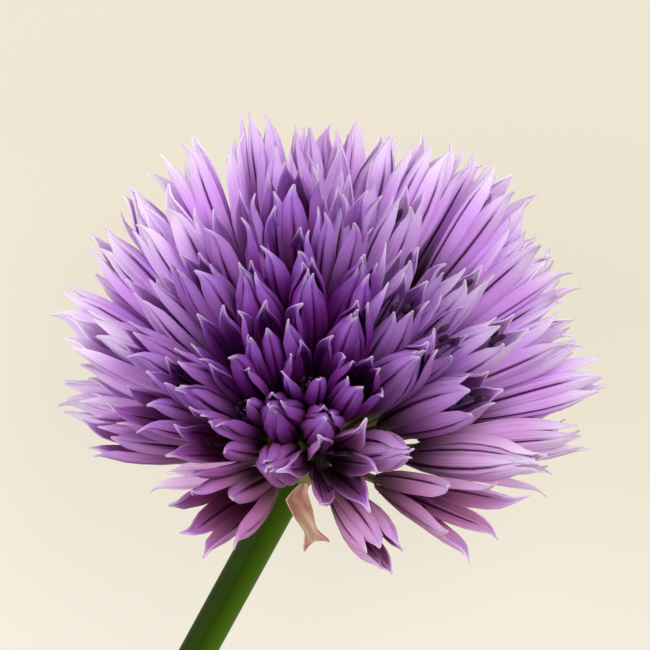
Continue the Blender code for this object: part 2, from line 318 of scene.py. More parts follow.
@dataclass(frozen=True)
class StemFinish:
    """Smooth dark green scape with fine lines and a pale cut end; painted shade darkens the side away from
    the key lamp and painted light brightens the side towards it.
    """

    line: StemLine
    dark: Colour = paint(36, 58, 0)
    light: Colour = paint(56, 84, 0)
    painted_shade: Colour = paint(26, 42, 0)
    painted_light: Colour = paint(82, 122, 10)
    cut: Colour = paint(172, 188, 112)
    pith: Colour = paint(138, 158, 76)
    bloom: Colour = paint(66, 96, 14)

    def material(self) -> Material:
        """The material, which reads the stem's UV map and how far across the stem a point is."""
        painter, line = Painter("stem_satin"), self.line
        around, along = painter.map()
        place = painter.place()
        cosine, sine = math.cos(line.plan_angle), math.sin(line.plan_angle)
        middle = line.centre.x * cosine - line.centre.y * sine
        across = painter.part(place, "X") * cosine - painter.part(place, "Y") * sine - middle
        lines = painter.noise(painter.vector(around * 60.0, along * 2.0, 0.0), 1.0)
        clouds = painter.grain(160.0)
        colour = painter.mix(lines.rise(0.3, 0.8) * 0.6, self.dark, self.light)
        colour = painter.mix(clouds.rise(0.45, 0.75) * 0.3, colour, self.bloom)
        # Painted shade on the stem's side away from the key lamp and painted light on the side towards it,
        # by how far across the stem a point lies.
        colour = painter.mix(across.fall(-line.radius, 0.0) * 0.7, colour, self.painted_shade)
        colour = painter.mix(across.rise(-0.2 * line.radius, 0.9 * line.radius) * 0.8, colour, self.painted_light)
        flesh = painter.mix(painter.grain(3000.0).rise(0.4, 0.7), self.cut, self.pith)
        colour = painter.mix(painter.own(TONE), colour, flesh)
        return painter.surface(
            Base_Color=colour,
            Roughness=0.42 + clouds * 0.14,
            Normal=painter.bump(lines, 0.03 * MM, 0.3),
            Subsurface_Weight=0.3,
            Subsurface_Radius=(0.6, 1.0, 0.2),
            Subsurface_Scale=1.2 * MM,
            Specular_IOR_Level=0.06,
        )


@dataclass(frozen=True)
class SpeckledFinish:
    """One dull colour speckled and grained with another."""

    name: str
    base: Colour
    speck: Colour
    scale: float
    edges: Span
    share: float
    smooth: float
    rougher: float
    depth: float
    strength: float

    def material(self) -> Material:
        """The material, whose specks lie by where on the object a point is."""
        painter = Painter(self.name)
        grain = painter.grain(self.scale)
        return painter.surface(
            Base_Color=painter.mix(grain.rise(*self.edges) * self.share, self.base, self.speck),
            Roughness=self.smooth + grain * self.rougher,
            Normal=painter.bump(grain, self.depth, self.strength),
        )


ANTHER_FINISH = SpeckledFinish(
    name="anther_dusk",
    base=paint(50, 20, 50),
    speck=paint(98, 74, 100),
    scale=5200.0,
    edges=(0.5, 0.75),
    share=0.7,
    smooth=0.6,
    rougher=0.2,
    depth=0.04 * MM,
    strength=0.6,
)
OVARY_FINISH = SpeckledFinish(
    name="ovary_green",
    base=paint(98, 104, 66),
    speck=paint(72, 34, 76),
    scale=1500.0,
    edges=(0.4, 0.7),
    share=1.0,
    smooth=0.35,
    rougher=0.1,
    depth=0.05 * MM,
    strength=0.5,
)


@dataclass(frozen=True)
class FilamentFinish:
    """Slim lilac filaments and styles, paler towards their ends."""

    low: Colour = paint(112, 62, 128)
    high: Colour = paint(164, 122, 178)

    def material(self) -> Material:
        """The material, which reads how far along its filament a point is."""
        painter = Painter("filament_lilac")
        _, along = painter.map()
        grain = painter.grain(2400.0)
        colour = painter.mix(along.rise(0.0, 0.9), self.low, self.high)
        return painter.surface(
            Base_Color=painter.mix(grain * 0.3, colour, self.low),
            Roughness=0.45 + grain * 0.1,
            Subsurface_Weight=0.2,
            Subsurface_Scale=0.3 * MM,
        )


@dataclass(frozen=True)
class SpatheFinish:
    """Dry papery bract, tan with rosy brown veins."""

    tan: Colour = paint(232, 204, 176)
    rosy: Colour = paint(208, 152, 134)
    vein: Colour = paint(172, 112, 96)

    def material(self) -> Material:
        """The material, which reads the valve's UV map."""
        painter = Painter("spathe_paper")
        across, along = painter.map()
        veins = painter.noise(painter.vector(across * 9.0, along * 1.5, 0.0), 1.0)
        blotch = painter.grain(420.0)
        colour = painter.mix(blotch.rise(0.35, 0.65), self.tan, self.rosy)
        colour = painter.mix(veins.rise(0.55, 0.75) * 0.6, colour, self.vein)
        return painter.surface(
            Base_Color=colour,
            Roughness=0.6 + blotch * 0.15,
            Normal=painter.bump(veins, 0.12 * MM, 0.7),
            Subsurface_Weight=0.3,
            Subsurface_Scale=0.5 * MM,
        )


Finish = TepalFinish | StalkFinish | StemFinish | SpeckledFinish | FilamentFinish | SpatheFinish


class Bench:
    """One mesh on the bench: its points are picked by place and shaped with the edit tools."""

    def __init__(self, piece: Piece) -> None:
        """Opens the piece in edit mode, with nothing picked."""
        select_only(piece)
        bpy.ops.object.mode_set(mode="EDIT")
        bpy.ops.mesh.select_mode(type="VERT")
        bpy.ops.mesh.select_all(action="DESELECT")
        self.piece = piece

    def find(self, test: Callable[[Vector], bool]) -> list[int]:
        """The points whose place passes the test."""
        mesh = bmesh.from_edit_mesh(self.piece.data)
        return [point.index for point in mesh.verts if test(point.co)]

    def pick(self, points: Sequence[int]) -> Bench:
        """Picks these points and no others."""
        mesh = bmesh.from_edit_mesh(self.piece.data)
        mesh.verts.ensure_lookup_table()
        wanted = set(points)
        for point in mesh.verts:
            point.select = point.index in wanted
        mesh.select_flush_mode()
        bmesh.update_edit_mesh(self.piece.data, loop_triangles=False, destructive=False)
        return self

    def pick_where(self, test: Callable[[Vector], bool]) -> Bench:
        """Picks the points whose place passes the test."""
        return self.pick(self.find(test))

    def move(self, x: float, y: float, z: float) -> Bench:
        """Moves what is picked."""
        bpy.ops.transform.translate(value=(x, y, z))
        return self

    def resize(self, x: float, y: float, z: float, centre: Vector) -> Bench:
        """Scales what is picked about a point."""
        bpy.ops.transform.resize(value=(x, y, z), center_override=centre)
        return self

    def turn(self, angle: float, axis: str, centre: Vector) -> Bench:
        """Turns what is picked about a point, anticlockwise as seen from the axis's far end."""
        bpy.ops.transform.rotate(value=-angle, orient_axis=axis, center_override=centre)
        return self

    def cut(self, axis: str, place: float) -> Bench:
        """Cuts a ring of edges round the whole piece, at a place along an axis."""
        way = Vector([float(name == axis) for name in "XYZ"])
        bpy.ops.mesh.select_all(action="SELECT")
        bpy.ops.mesh.bisect(plane_co=way * place, plane_no=way)
        return self

    def close(self) -> Piece:
        """Leaves edit mode."""
        bpy.ops.object.mode_set(mode="OBJECT")
        return self.piece


def select_only(*pieces: Piece) -> None:
    """Selects these objects alone, the first as the active one."""
    bpy.ops.object.select_all(action="DESELECT")
    for piece in pieces:
        piece.select_set(True)
    bpy.context.view_layer.objects.active = pieces[0]


def apply_modifier(piece: Piece, kind: str, **settings: object) -> None:
    """Adds a modifier with these settings and applies it."""
    select_only(piece)
    modifier = piece.modifiers.new(kind.title(), kind)
    for key, value in settings.items():
        setattr(modifier, key, value)
    bpy.ops.object.modifier_apply(modifier=modifier.name)


def fix_in_place(piece: Piece) -> None:
    """Puts the object's place, turn and size into its mesh."""
    place = piece.matrix_basis.copy()
    piece.data.transform(place)
    if place.determinant() < 0.0:
        piece.data.flip_normals()
    piece.matrix_basis = Matrix.Identity(4)


def face_along(piece: Piece, way: Vector) -> None:
    """Turns an object's own +Z along a way."""
    piece.rotation_mode = "QUATERNION"
    piece.rotation_quaternion = way.to_track_quat("Z", "Y")


def newest() -> Piece:
    """The primitive that was just added, with its place in its mesh."""
    piece = bpy.context.active_object
    fix_in_place(piece)
    return piece


def add_object(name: str, data: bpy.types.ID) -> Piece:
    """Adds an object for a curve, a light or a camera."""
    made = bpy.data.objects.new(name, data)
    bpy.context.scene.collection.objects.link(made)
    return made


def add_ball(segments: int, rings: int, middle: Vector, size: Sequence[float]) -> Piece:
    """A ball stretched to its radius along each axis."""
    bpy.ops.mesh.primitive_uv_sphere_add(segments=segments, ring_count=rings, radius=1.0, location=middle)
    bpy.context.active_object.scale = size
    return newest()


def add_cone(low: float, high: float, foot: float, length: float) -> Piece:
    """A slim five-sided cone along +Z, by its radius at the foot and at the end."""
    middle = UP * (foot + length / 2.0)
    bpy.ops.mesh.primitive_cone_add(vertices=5, radius1=low, radius2=high, depth=length, location=middle)
    return newest()


def shape_grid(name: str, columns: int, rows: int, place: Callable[[float, int], Vector]) -> Piece:
    """Adds a flat grid and moves each of its points.

    Args:
        name: The piece's name.
        columns: How many faces it has across.
        rows: How many faces it has along.
        place: Where a point goes, from how far across it is, -1 to 1, and its row.

    Returns:
        The sheet, which has no thickness yet.
    """
    bpy.ops.mesh.primitive_grid_add(x_subdivisions=columns, y_subdivisions=rows, size=1.0)
    piece = bpy.context.active_object
    piece.name = name
    bench = Bench(piece)
    starts = [point.co.copy() for point in bmesh.from_edit_mesh(piece.data).verts]
    for index, start in enumerate(starts):
        target = place(2.0 * start.x, index // (columns + 1))
        bench.pick([index]).move(*(target - start))
    return bench.close()


def copy_of(piece: Piece, place: Matrix) -> Piece:
    """A copy with its own mesh, at a place."""
    twin = piece.copy()
    twin.data = piece.data.copy()
    bpy.context.scene.collection.objects.link(twin)
    twin.matrix_basis = place
    fix_in_place(twin)
    return twin


def everywhere(_: Vector) -> bool:
    """A test that every point passes."""
    return True


def set_own(piece: Piece, name: str, value: float, test: Callable[[Vector], bool] = everywhere) -> None:
    """Writes a number on the points whose place passes the test, and 0 on the others."""
    layer = piece.data.attributes.new(name, "FLOAT", "POINT")
    layer.data.foreach_set("value", [value if test(point.co) else 0.0 for point in piece.data.vertices])


def join(name: str, pieces: Sequence[Piece]) -> Piece:
    """Joins pieces into one named object."""
    select_only(*pieces)
    bpy.ops.object.join()
    joined = bpy.context.view_layer.objects.active
    joined.name = name
    joined.data.name = name
    return joined


def discard(pieces: Sequence[Piece]) -> None:
    """Removes patterns that have been copied."""
    for piece in pieces:
        bpy.data.objects.remove(piece, do_unlink=True)


def finish_piece(piece: Piece, finish: Finish, slot: Slot, *nodes: str) -> Piece:
    """Smooths, dresses and mounts a finished piece.

    Args:
        piece: The piece, in place.
        finish: Its finish.
        slot: The record's slot that the finish belongs to; not used.
        nodes: The solids that it stands for.

    Returns:
        The same piece.
    """
    select_only(piece)
    bpy.ops.object.shade_smooth_by_angle(angle=SMOOTH_BELOW)
    piece.data.materials.clear()
    piece.data.materials.append(finish.material())
    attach(piece, BODY)
    if nodes:
        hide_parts(*nodes)
    LOG.info("%s: %d faces", piece.name, len(piece.data.polygons))
    return piece


@dataclass(frozen=True)
class StemLine:
    """The stem's centreline, as in the part's solids."""

    head_centre: tuple[float, float, float] = (6.52 * MM, 19.15 * MM, 17.2 * MM)
    radius: float = 1.27 * MM
    plan_angle: float = math.radians(28.5)
    start: float = 3.8 * MM
    length: float = 68.0 * MM
    touchdown: float = 58.0 * MM
    curve: float = 2.0
    foot_depth: float = 0.07 * MM
    receptacle_along: float = 2.6 * MM

    @property
    def centre(self) -> Vector:
        """The head's centre."""
        return Vector(self.head_centre)

    def point(self, along: float) -> Vector:
        """A point of the centreline, at a plan distance from the head's centre."""
        centre = self.centre
        low = self.radius - self.foot_depth
        rise = max(0.0, 1.0 - along / self.touchdown) ** self.curve
        return Vector((
            centre.x - math.sin(self.plan_angle) * along,
            centre.y - math.cos(self.plan_angle) * along,
            low + (centre.z - low) * rise,
        ))

    def receptacle(self) -> Vector:
        """The common root of the florets' stalks."""
        return self.point(self.receptacle_along)

    def direction(self) -> Vector:
        """The way that the stem leaves the head."""
        return (self.point(self.start) - self.point(0.0)).normalized()

    def across(self, turn: float) -> Vector:
        """The way across the stem at a turn from its right, where a quarter turn is up."""
        along = self.direction()
        right = along.cross(-UP).normalized()
        above = along.cross(right).normalized()
        return right * math.cos(turn) + above * math.sin(turn)


@dataclass(frozen=True)
class Floret:
    """Where one floret stands and how it is grown."""

    way: Vector
    reach: float
    opening: float
    openness: float
    spin: float

    def frame(self, root: Vector) -> Matrix:
        """Turns +Z to the floret's own way, from the stalks' common root."""
        turn = self.way.to_track_quat("Z", "Y").to_matrix().to_4x4()
        return Matrix.Translation(root) @ turn @ Matrix.Rotation(self.spin, 4, "Z")


@dataclass(frozen=True)
class HeadPlan:
    """Where the florets stand: the rule and the draws of the part's solids."""

    line: StemLine = StemLine()
    lift: float = math.radians(28)
    reach: float = 20.0 * MM
    crown_height: float = 17.0 * MM
    gap: float = math.radians(12.0)
    rounds: int = 40
    push: float = 0.25
    stem_push: float = 0.05
    droop_limit: float = math.radians(112)
    stem_clearance: float = math.radians(48)
    spiral_steps: int = 200
    hidden_lift: float = math.radians(-12)
    hidden_gap: float = math.radians(17.0)
    hidden_spread: float = 15.5 * MM
    pressed: float = 0.2 * MM
    mouths: Span = (0.7 * MM, 2.8 * MM)
    reach_spread: float = 0.03
    opening_spread: float = 0.12
    seed: int = 11
    crown: tuple[tuple[float, float, float], ...] = (
        (14.9, -2.4, 0.1), (11.4, -6.5, 0.9), (4.4, -9.0, 0.4), (-8.8, -6.8, 0.5), (-15.4, -0.2, 0.4),
        (-12.9, 2.0, 0.6), (-10.3, 3.7, 0.3), (-13.7, 6.8, 0.2), (-12.5, 10.2, 0.2), (-8.3, 11.7, 0.2),
        (-6.9, 15.0, 0.6), (-4.1, 11.4, 0.1), (-2.4, 17.4, 0.4), (1.3, 18.8, 0.5), (3.0, 16.8, 0.6),
        (4.9, 15.6, 0.3), (-1.9, 13.2, 0.7), (-0.9, 10.9, 0.0), (2.2, 10.9, 0.1), (2.8, 8.3, 0.0),
        (-1.2, 7.3, 0.5), (-4.0, 9.0, 0.3), (-6.3, 7.0, 0.8), (-8.0, 3.2, 0.5), (-9.0, -0.6, 0.6),
        (-3.9, 1.8, 0.0), (1.3, 1.4, 0.0), (1.3, -2.4, 1.0), (5.9, -1.5, 0.0), (-3.8, -2.8, 0.0),
        (7.0, 12.2, 0.5), (9.0, 7.3, 0.6), (10.0, 10.7, 0.3), (12.0, 8.0, 0.4), (11.4, 2.6, 0.2),
        (4.9, 9.8, 0.2), (5.4, 7.6, 0.1), (0.3, 15.0, 0.5), (3.8, 4.6, 0.3),
    )
    rim: tuple[tuple[float, float, float], ...] = (
        (-19.4, 9.3, -5), (-17.0, 6.9, 14), (-16.6, 11.9, -14), (-14.9, 16.3, 2),
        (-12.3, 15.7, 14), (-10.3, 18.6, -8), (-6.2, 20.5, -14), (-3.8, 21.3, 3),
        (0.1, 21.7, -6), (2.6, 20.8, -20), (4.4, 20.4, -3), (7.6, 19.3, 6),
        (10.9, 19.0, -8), (13.6, 17.1, 3), (14.4, 14.6, -10), (16.2, 12.4, 2),
        (17.0, 11.2, -15), (17.4, 8.8, -6), (18.0, 6.9, 5), (17.8, 5.1, -12),
        (20.4, 3.4, 2), (17.4, 1.9, -14), (18.5, -0.5, 4), (17.2, -1.8, -10),
        (-18.8, 2.0, -8), (-17.2, 4.0, 6), (-12.6, -2.4, -30), (-9.4, 19.6, 10),
        (-2.2, 20.6, 12), (6.2, 19.9, -14), (-15.5, 13.9, -4),
    )

    def axis(self) -> Vector:
        """The way that the head faces."""
        return Vector((0.0, math.cos(self.lift), math.sin(self.lift)))

    def tips(self) -> list[Vector]:
        """Where each floret's tips are, from the head's centre, before they settle."""
        tips = []
        for across, along, _ in self.crown:
            flat = Vector((across, along, 0.0)) * MM
            rise = math.sqrt(1.0 - flat.length_squared / self.reach**2)
            tips.append(flat + UP * (self.crown_height * rise))
        for across, along, lift in self.rim:
            flat = Vector((across, along, 0.0)) * MM
            tips.append(flat + UP * (flat.length * math.tan(math.radians(lift))))
        return tips + self.hidden_tips([tip.normalized() for tip in tips])

    def hidden_tips(self, placed: list[Vector]) -> list[Vector]:
        """The florets that face down, on a spiral, where there is still room.

        Args:
            placed: The ways of the florets that are already there.

        Returns:
            The tips of the added florets.
        """
        golden_angle = math.pi * (3.0 - math.sqrt(5.0))
        stem = self.line.direction()
        tips = []
        for step in range(self.spiral_steps):
            height = 1.0 - 2.0 * (step + 0.5) / self.spiral_steps
            width = math.sqrt(1.0 - height**2)
            turn = step * golden_angle
            way = Vector((width * math.cos(turn), width * math.sin(turn), height))
            outside = math.asin(height) > self.hidden_lift or way.angle(self.axis()) > self.droop_limit
            taken = any(way.angle(other) < self.hidden_gap for other in placed)
            if outside or taken or way.angle(stem) < self.stem_clearance:
                continue
            placed.append(way)
            tips.append(way * min(self.reach, self.hidden_spread / width))
        return tips

    def settled(self) -> list[tuple[Vector, float]]:
        """The florets' ways and reaches from their root, once close ones have moved apart."""
        root = self.line.receptacle() - self.line.centre
        stalks = [tip - root for tip in self.tips()]
        ways = [stalk.normalized() for stalk in stalks]
        stem = self.line.direction()
        for _ in range(self.rounds):
            pushes = [Vector() for _ in ways]
            for first, way in enumerate(ways):
                for second in range(first + 1, len(ways)):
                    angle = way.angle(ways[second])
                    if angle < self.gap:
                        push = (way - ways[second]) * (self.push * (self.gap / angle - 1.0))
                        pushes[first] += push
                        pushes[second] -= push
                if way.angle(stem) < self.stem_clearance:
                    pushes[first] -= stem * self.stem_push
            ways = [(way + push).normalized() for way, push in zip(ways, pushes)]
        return [(way, stalk.length) for way, stalk in zip(ways, stalks)]

    def touchdown_reach(self, way: Vector, mouth: float) -> float:
        """How long a floret may be before it is pressed into the surface."""
        if way.z >= 0.0:
            return math.inf
        spread = mouth * math.sqrt(1.0 - way.z**2)
        return (self.line.receptacle().z + self.pressed - spread) / -way.z

    def florets(self) -> list[Floret]:
        """Every floret, with the same draws in the same order as the solids have."""
        draw = random.Random(self.seed)
        florets = []
        for number, (way, reach) in enumerate(self.settled()):
            opening = 1.0 + draw.uniform(-self.opening_spread, self.opening_spread)
            openness = self.crown[number][2] if number < len(self.crown) else draw.random()
            mouth = self.mouths[0] + (self.mouths[1] - self.mouths[0]) * openness
            reach *= 1.0 + draw.uniform(-self.reach_spread, self.reach_spread)
            reach = min(reach, self.touchdown_reach(way, mouth))
            spin = draw.uniform(0.0, FULL_TURN / 3.0)
            florets.append(Floret(way, reach, opening, openness, spin))
        return florets


@dataclass(frozen=True)
class TepalForm:
    """A boat-shaped tepal with a grooved back and a small clawed point.

    Its rows give, in mm, height, half width, and distance from the floret's axis in a closed
    floret and in an open one.
    """

    columns: int = 6
    rows: tuple[tuple[float, float, float, float], ...] = (
        (0.0, 0.38, 0.42, 0.42),
        (1.7, 0.64, 0.90, 0.98),
        (3.6, 0.82, 1.20, 1.42),
        (5.6, 0.90, 1.32, 1.80),
        (7.4, 0.90, 1.26, 2.14),
        (8.9, 0.80, 0.98, 2.40),
        (10.0, 0.60, 0.58, 2.56),
        (10.7, 0.36, 0.34, 2.66),
        (11.2, 0.19, 0.22, 2.76),
        (11.8, 0.05, 0.16, 3.00),
    )
    fold: float = 0.5
    bulge: float = 0.34
    thickness: float = 0.11 * MM
    inner_narrower: float = 0.92
    inner_closer: float = 0.82
    waviness: float = 0.06 * MM
    claw: float = 0.75 * MM
    claw_closed: float = 0.3
    claw_from: float = 0.86
    flares: Span = (-0.5, 0.9)
    bows: Span = (-0.2, 0.2)

    def model(self, name: str, whorl: Whorl, openness: float, draw: random.Random) -> Piece:
        """Shapes one tepal from a flat grid.

        Args:
            name: The pattern's name.
            whorl: Which ring it belongs to.
            openness: From 0 in a closed floret to 1 in an open one.
            draw: The random numbers for its waves and its clawed tip.

        Returns:
            The tepal, along +Z from the floret's foot, facing +X.
        """
        inner = whorl is Whorl.INNER
        narrower = self.inner_narrower if inner else 1.0
        closer = self.inner_closer if inner else 1.0
        claw = self.claw * (self.claw_closed + (1.0 - self.claw_closed) * openness)
        sideways = draw.uniform(-1.0, 1.0) * claw
        flare = draw.uniform(*self.flares) * claw
        bow = draw.uniform(*self.bows) * MM

        def place(across: float, row: int) -> Vector:
            """Where a point of the tepal goes."""
            height, half_width, closed, opened = self.rows[row]
            share = height / self.rows[-1][0]
            tip_share = max(0.0, share - self.claw_from) / (1.0 - self.claw_from)
            width = half_width * narrower * MM
            out = (closed + (opened - closed) * openness) * closer * MM
            wave = draw.uniform(-self.waviness, self.waviness) * abs(across) * (1.0 - tip_share)
            back = self.bulge * width * math.sin(math.pi * abs(across)) - self.fold * width * across**2
            return Vector((
                out + back + wave + flare * tip_share**2,
                across * width + bow * math.sin(math.pi * share) + sideways * tip_share**2,
                height * MM,
            ))

        piece = shape_grid(name, self.columns, len(self.rows) - 1, place)
        self.map_by_height(piece)
        apply_modifier(piece, "SOLIDIFY", thickness=self.thickness, offset=0.0, use_even_offset=False)
        return piece

    def map_by_height(self, piece: Piece) -> None:
        """Lets the UV map run evenly from the tepal's foot to its tip."""
        mesh = piece.data
        for loop in mesh.loops:
            spot = mesh.uv_layers.active.data[loop.index]
            spot.uv.y = mesh.vertices[loop.vertex_index].co.z / (self.rows[-1][0] * MM)


@dataclass(frozen=True)
class StamenForm:
    """A filament with a two-lobed anther at its end."""

    foot: float = 1.2 * MM
    length: float = 4.9 * MM
    thickness: float = 0.13 * MM
    ring_radius: float = 0.62 * MM
    lean: float = math.radians(11)
    anther_length: float = 0.8 * MM
    anther_width: float = 0.44 * MM
    per_floret: int = 6
    closed_below: float = 0.45
    lean_shares: Span = (0.3, 1.0)
    wobbles: Span = (-0.03, 0.03)
    foot_swelling: float = 1.6
    end_taper: float = 0.55
    waist: float = 0.3
    waist_width: float = 0.6
    pinch: float = 0.62
    twist: float = math.radians(18)
    stretch: Span = (0.7, 1.1)
    tucked_in: Span = (0.5, 0.8)
    standing_out: Span = (1.0, 1.6)
    right_of: float = 0.3
    front_of: float = -0.1
    rim_below: float = 0.35

    def lean_at(self, openness: float, draw: random.Random) -> float:
        """How far a stamen leans out, which it only does where the floret has opened."""
        opened = max(0.0, openness - self.closed_below) / (1.0 - self.closed_below)
        return self.lean * opened * draw.uniform(*self.lean_shares) + draw.uniform(*self.wobbles)

    def heights(self, floret: Floret) -> Span:
        """The least and the most that a stamen is stretched.

        Stamens stand out at the crown's right and stay inside the florets of the rim and the front.
        """
        if floret.way.z < self.rim_below or floret.way.y < self.front_of:
            return self.tucked_in
        return self.standing_out if floret.way.x > self.right_of else self.stretch

    def filament(self) -> Piece:
        """A slim tapered filament, along +Z, slightly swollen at its foot."""
        waist, slim = UP * (self.foot + self.length * self.waist), self.waist_width
        low, high = self.thickness * self.foot_swelling, self.thickness * self.end_taper
        piece = add_cone(low, high, self.foot, self.length)
        bench = Bench(piece).cut("Z", waist.z)
        bench.pick_where(lambda point: abs(point.z - waist.z) < NEAR).resize(slim, slim, 1.0, waist)
        return bench.close()

    def anther(self) -> Piece:
        """A small oblong anther, pinched along its middle."""
        middle = UP * (self.foot + self.length)
        half_width = self.anther_width / 2.0
        bench = Bench(add_ball(8, 6, middle, (half_width, half_width, self.anther_length / 2.0)))
        bench.pick_where(lambda point: abs(point.y) < NEAR).resize(self.pinch, 1.0, 0.9, middle)
        bench.pick_where(everywhere).turn(self.twist, "X", middle)
        return bench.close()


@dataclass(frozen=True)
class OvaryForm:
    """The ovary: three rounded lobes with a style on top."""

    radius: float = 0.78 * MM
    foot: float = 0.6 * MM
    height: float = 1.7 * MM
    seam: float = 0.8
    style_foot: float = 0.5 * MM
    style_radii: Span = (0.14 * MM, 0.07 * MM)
    style_length: float = 3.4 * MM

    def model(self) -> Piece:
        """The ovary, along +Z from the floret's foot."""
        middle = UP * (self.height / 2.0 + self.foot)
        bench = Bench(add_ball(12, 6, middle, (self.radius, self.radius, self.height / 2.0)))
        for seam in range(3):
            angle = seam * FULL_TURN / 3.0
            way = Vector((math.cos(angle), math.sin(angle), 0.0))
            bench.pick_where(
                lambda point, way=way: (point - middle).xy.length > 0.05 * MM
                and (point - middle).xy.normalized().dot(way.xy) > 0.99
            ).resize(self.seam, self.seam, 1.0, middle)
        return bench.close()

    def style(self) -> Piece:
        """The slim style above the ovary."""
        return add_cone(*self.style_radii, self.height + self.style_foot, self.style_length)


@dataclass(frozen=True)
class StalkForm:
    """A floret's stalk, modelled one metre long and scaled to its floret."""

    radius: float = 0.3 * MM
    cuts: tuple[float, float, float] = (0.2, 0.55, 0.85)
    foot_swelling: float = 1.3
    swelling: float = 1.7
    overlap: float = 0.5 * MM
    sides: int = 7
    root: float = 1.9 * MM

    def model(self) -> Piece:
        """A slim stalk along +Z, one unit long, that swells at both ends."""
        bpy.ops.mesh.primitive_cylinder_add(
            vertices=self.sides, radius=self.radius, depth=1.0, location=(0.0, 0.0, 0.5)
        )
        bench = Bench(newest())
        for share in self.cuts:
            bench.cut("Z", share)
        for share, factor in ((0.0, self.foot_swelling), (1.0, self.swelling)):
            end = UP * share
            bench.pick_where(lambda point, z=share: abs(point.z - z) < 0.01).resize(factor, factor, 1.0, end)
        return bench.close()


